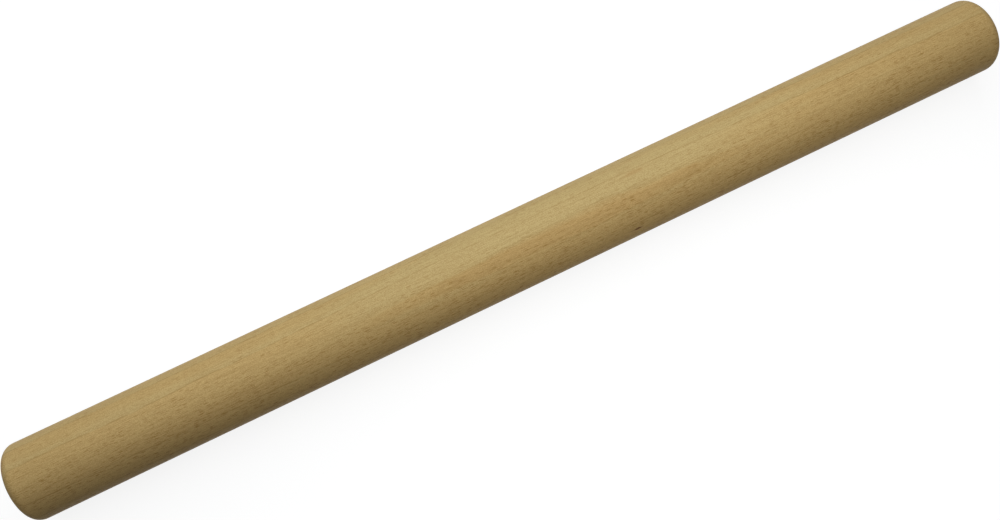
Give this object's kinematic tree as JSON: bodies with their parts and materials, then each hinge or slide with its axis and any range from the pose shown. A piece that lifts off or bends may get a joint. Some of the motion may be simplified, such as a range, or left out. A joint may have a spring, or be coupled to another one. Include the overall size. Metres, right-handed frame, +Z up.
{
  "type": "french rolling pin",
  "caption": "Straight wooden rolling pin without handles, in one turned piece with rounded ends, rolled over pastry by hand.",
  "frame": {"origin": "on the worktop that the pin lies on, straight below the middle of the pin's length and below its axis", "axes": "+X along the pin, +Z up, away from the worktop, and +Y across the pin, square to both"},
  "size_m": [0.5, 0.037, 0.037],
  "materials": {
    "beech": "sanded smooth, unfinished or lightly oiled, satin"
  },
  "bodies": {
    "root": {"rolling_pin": "beech"}
  },
  "joints": []
}
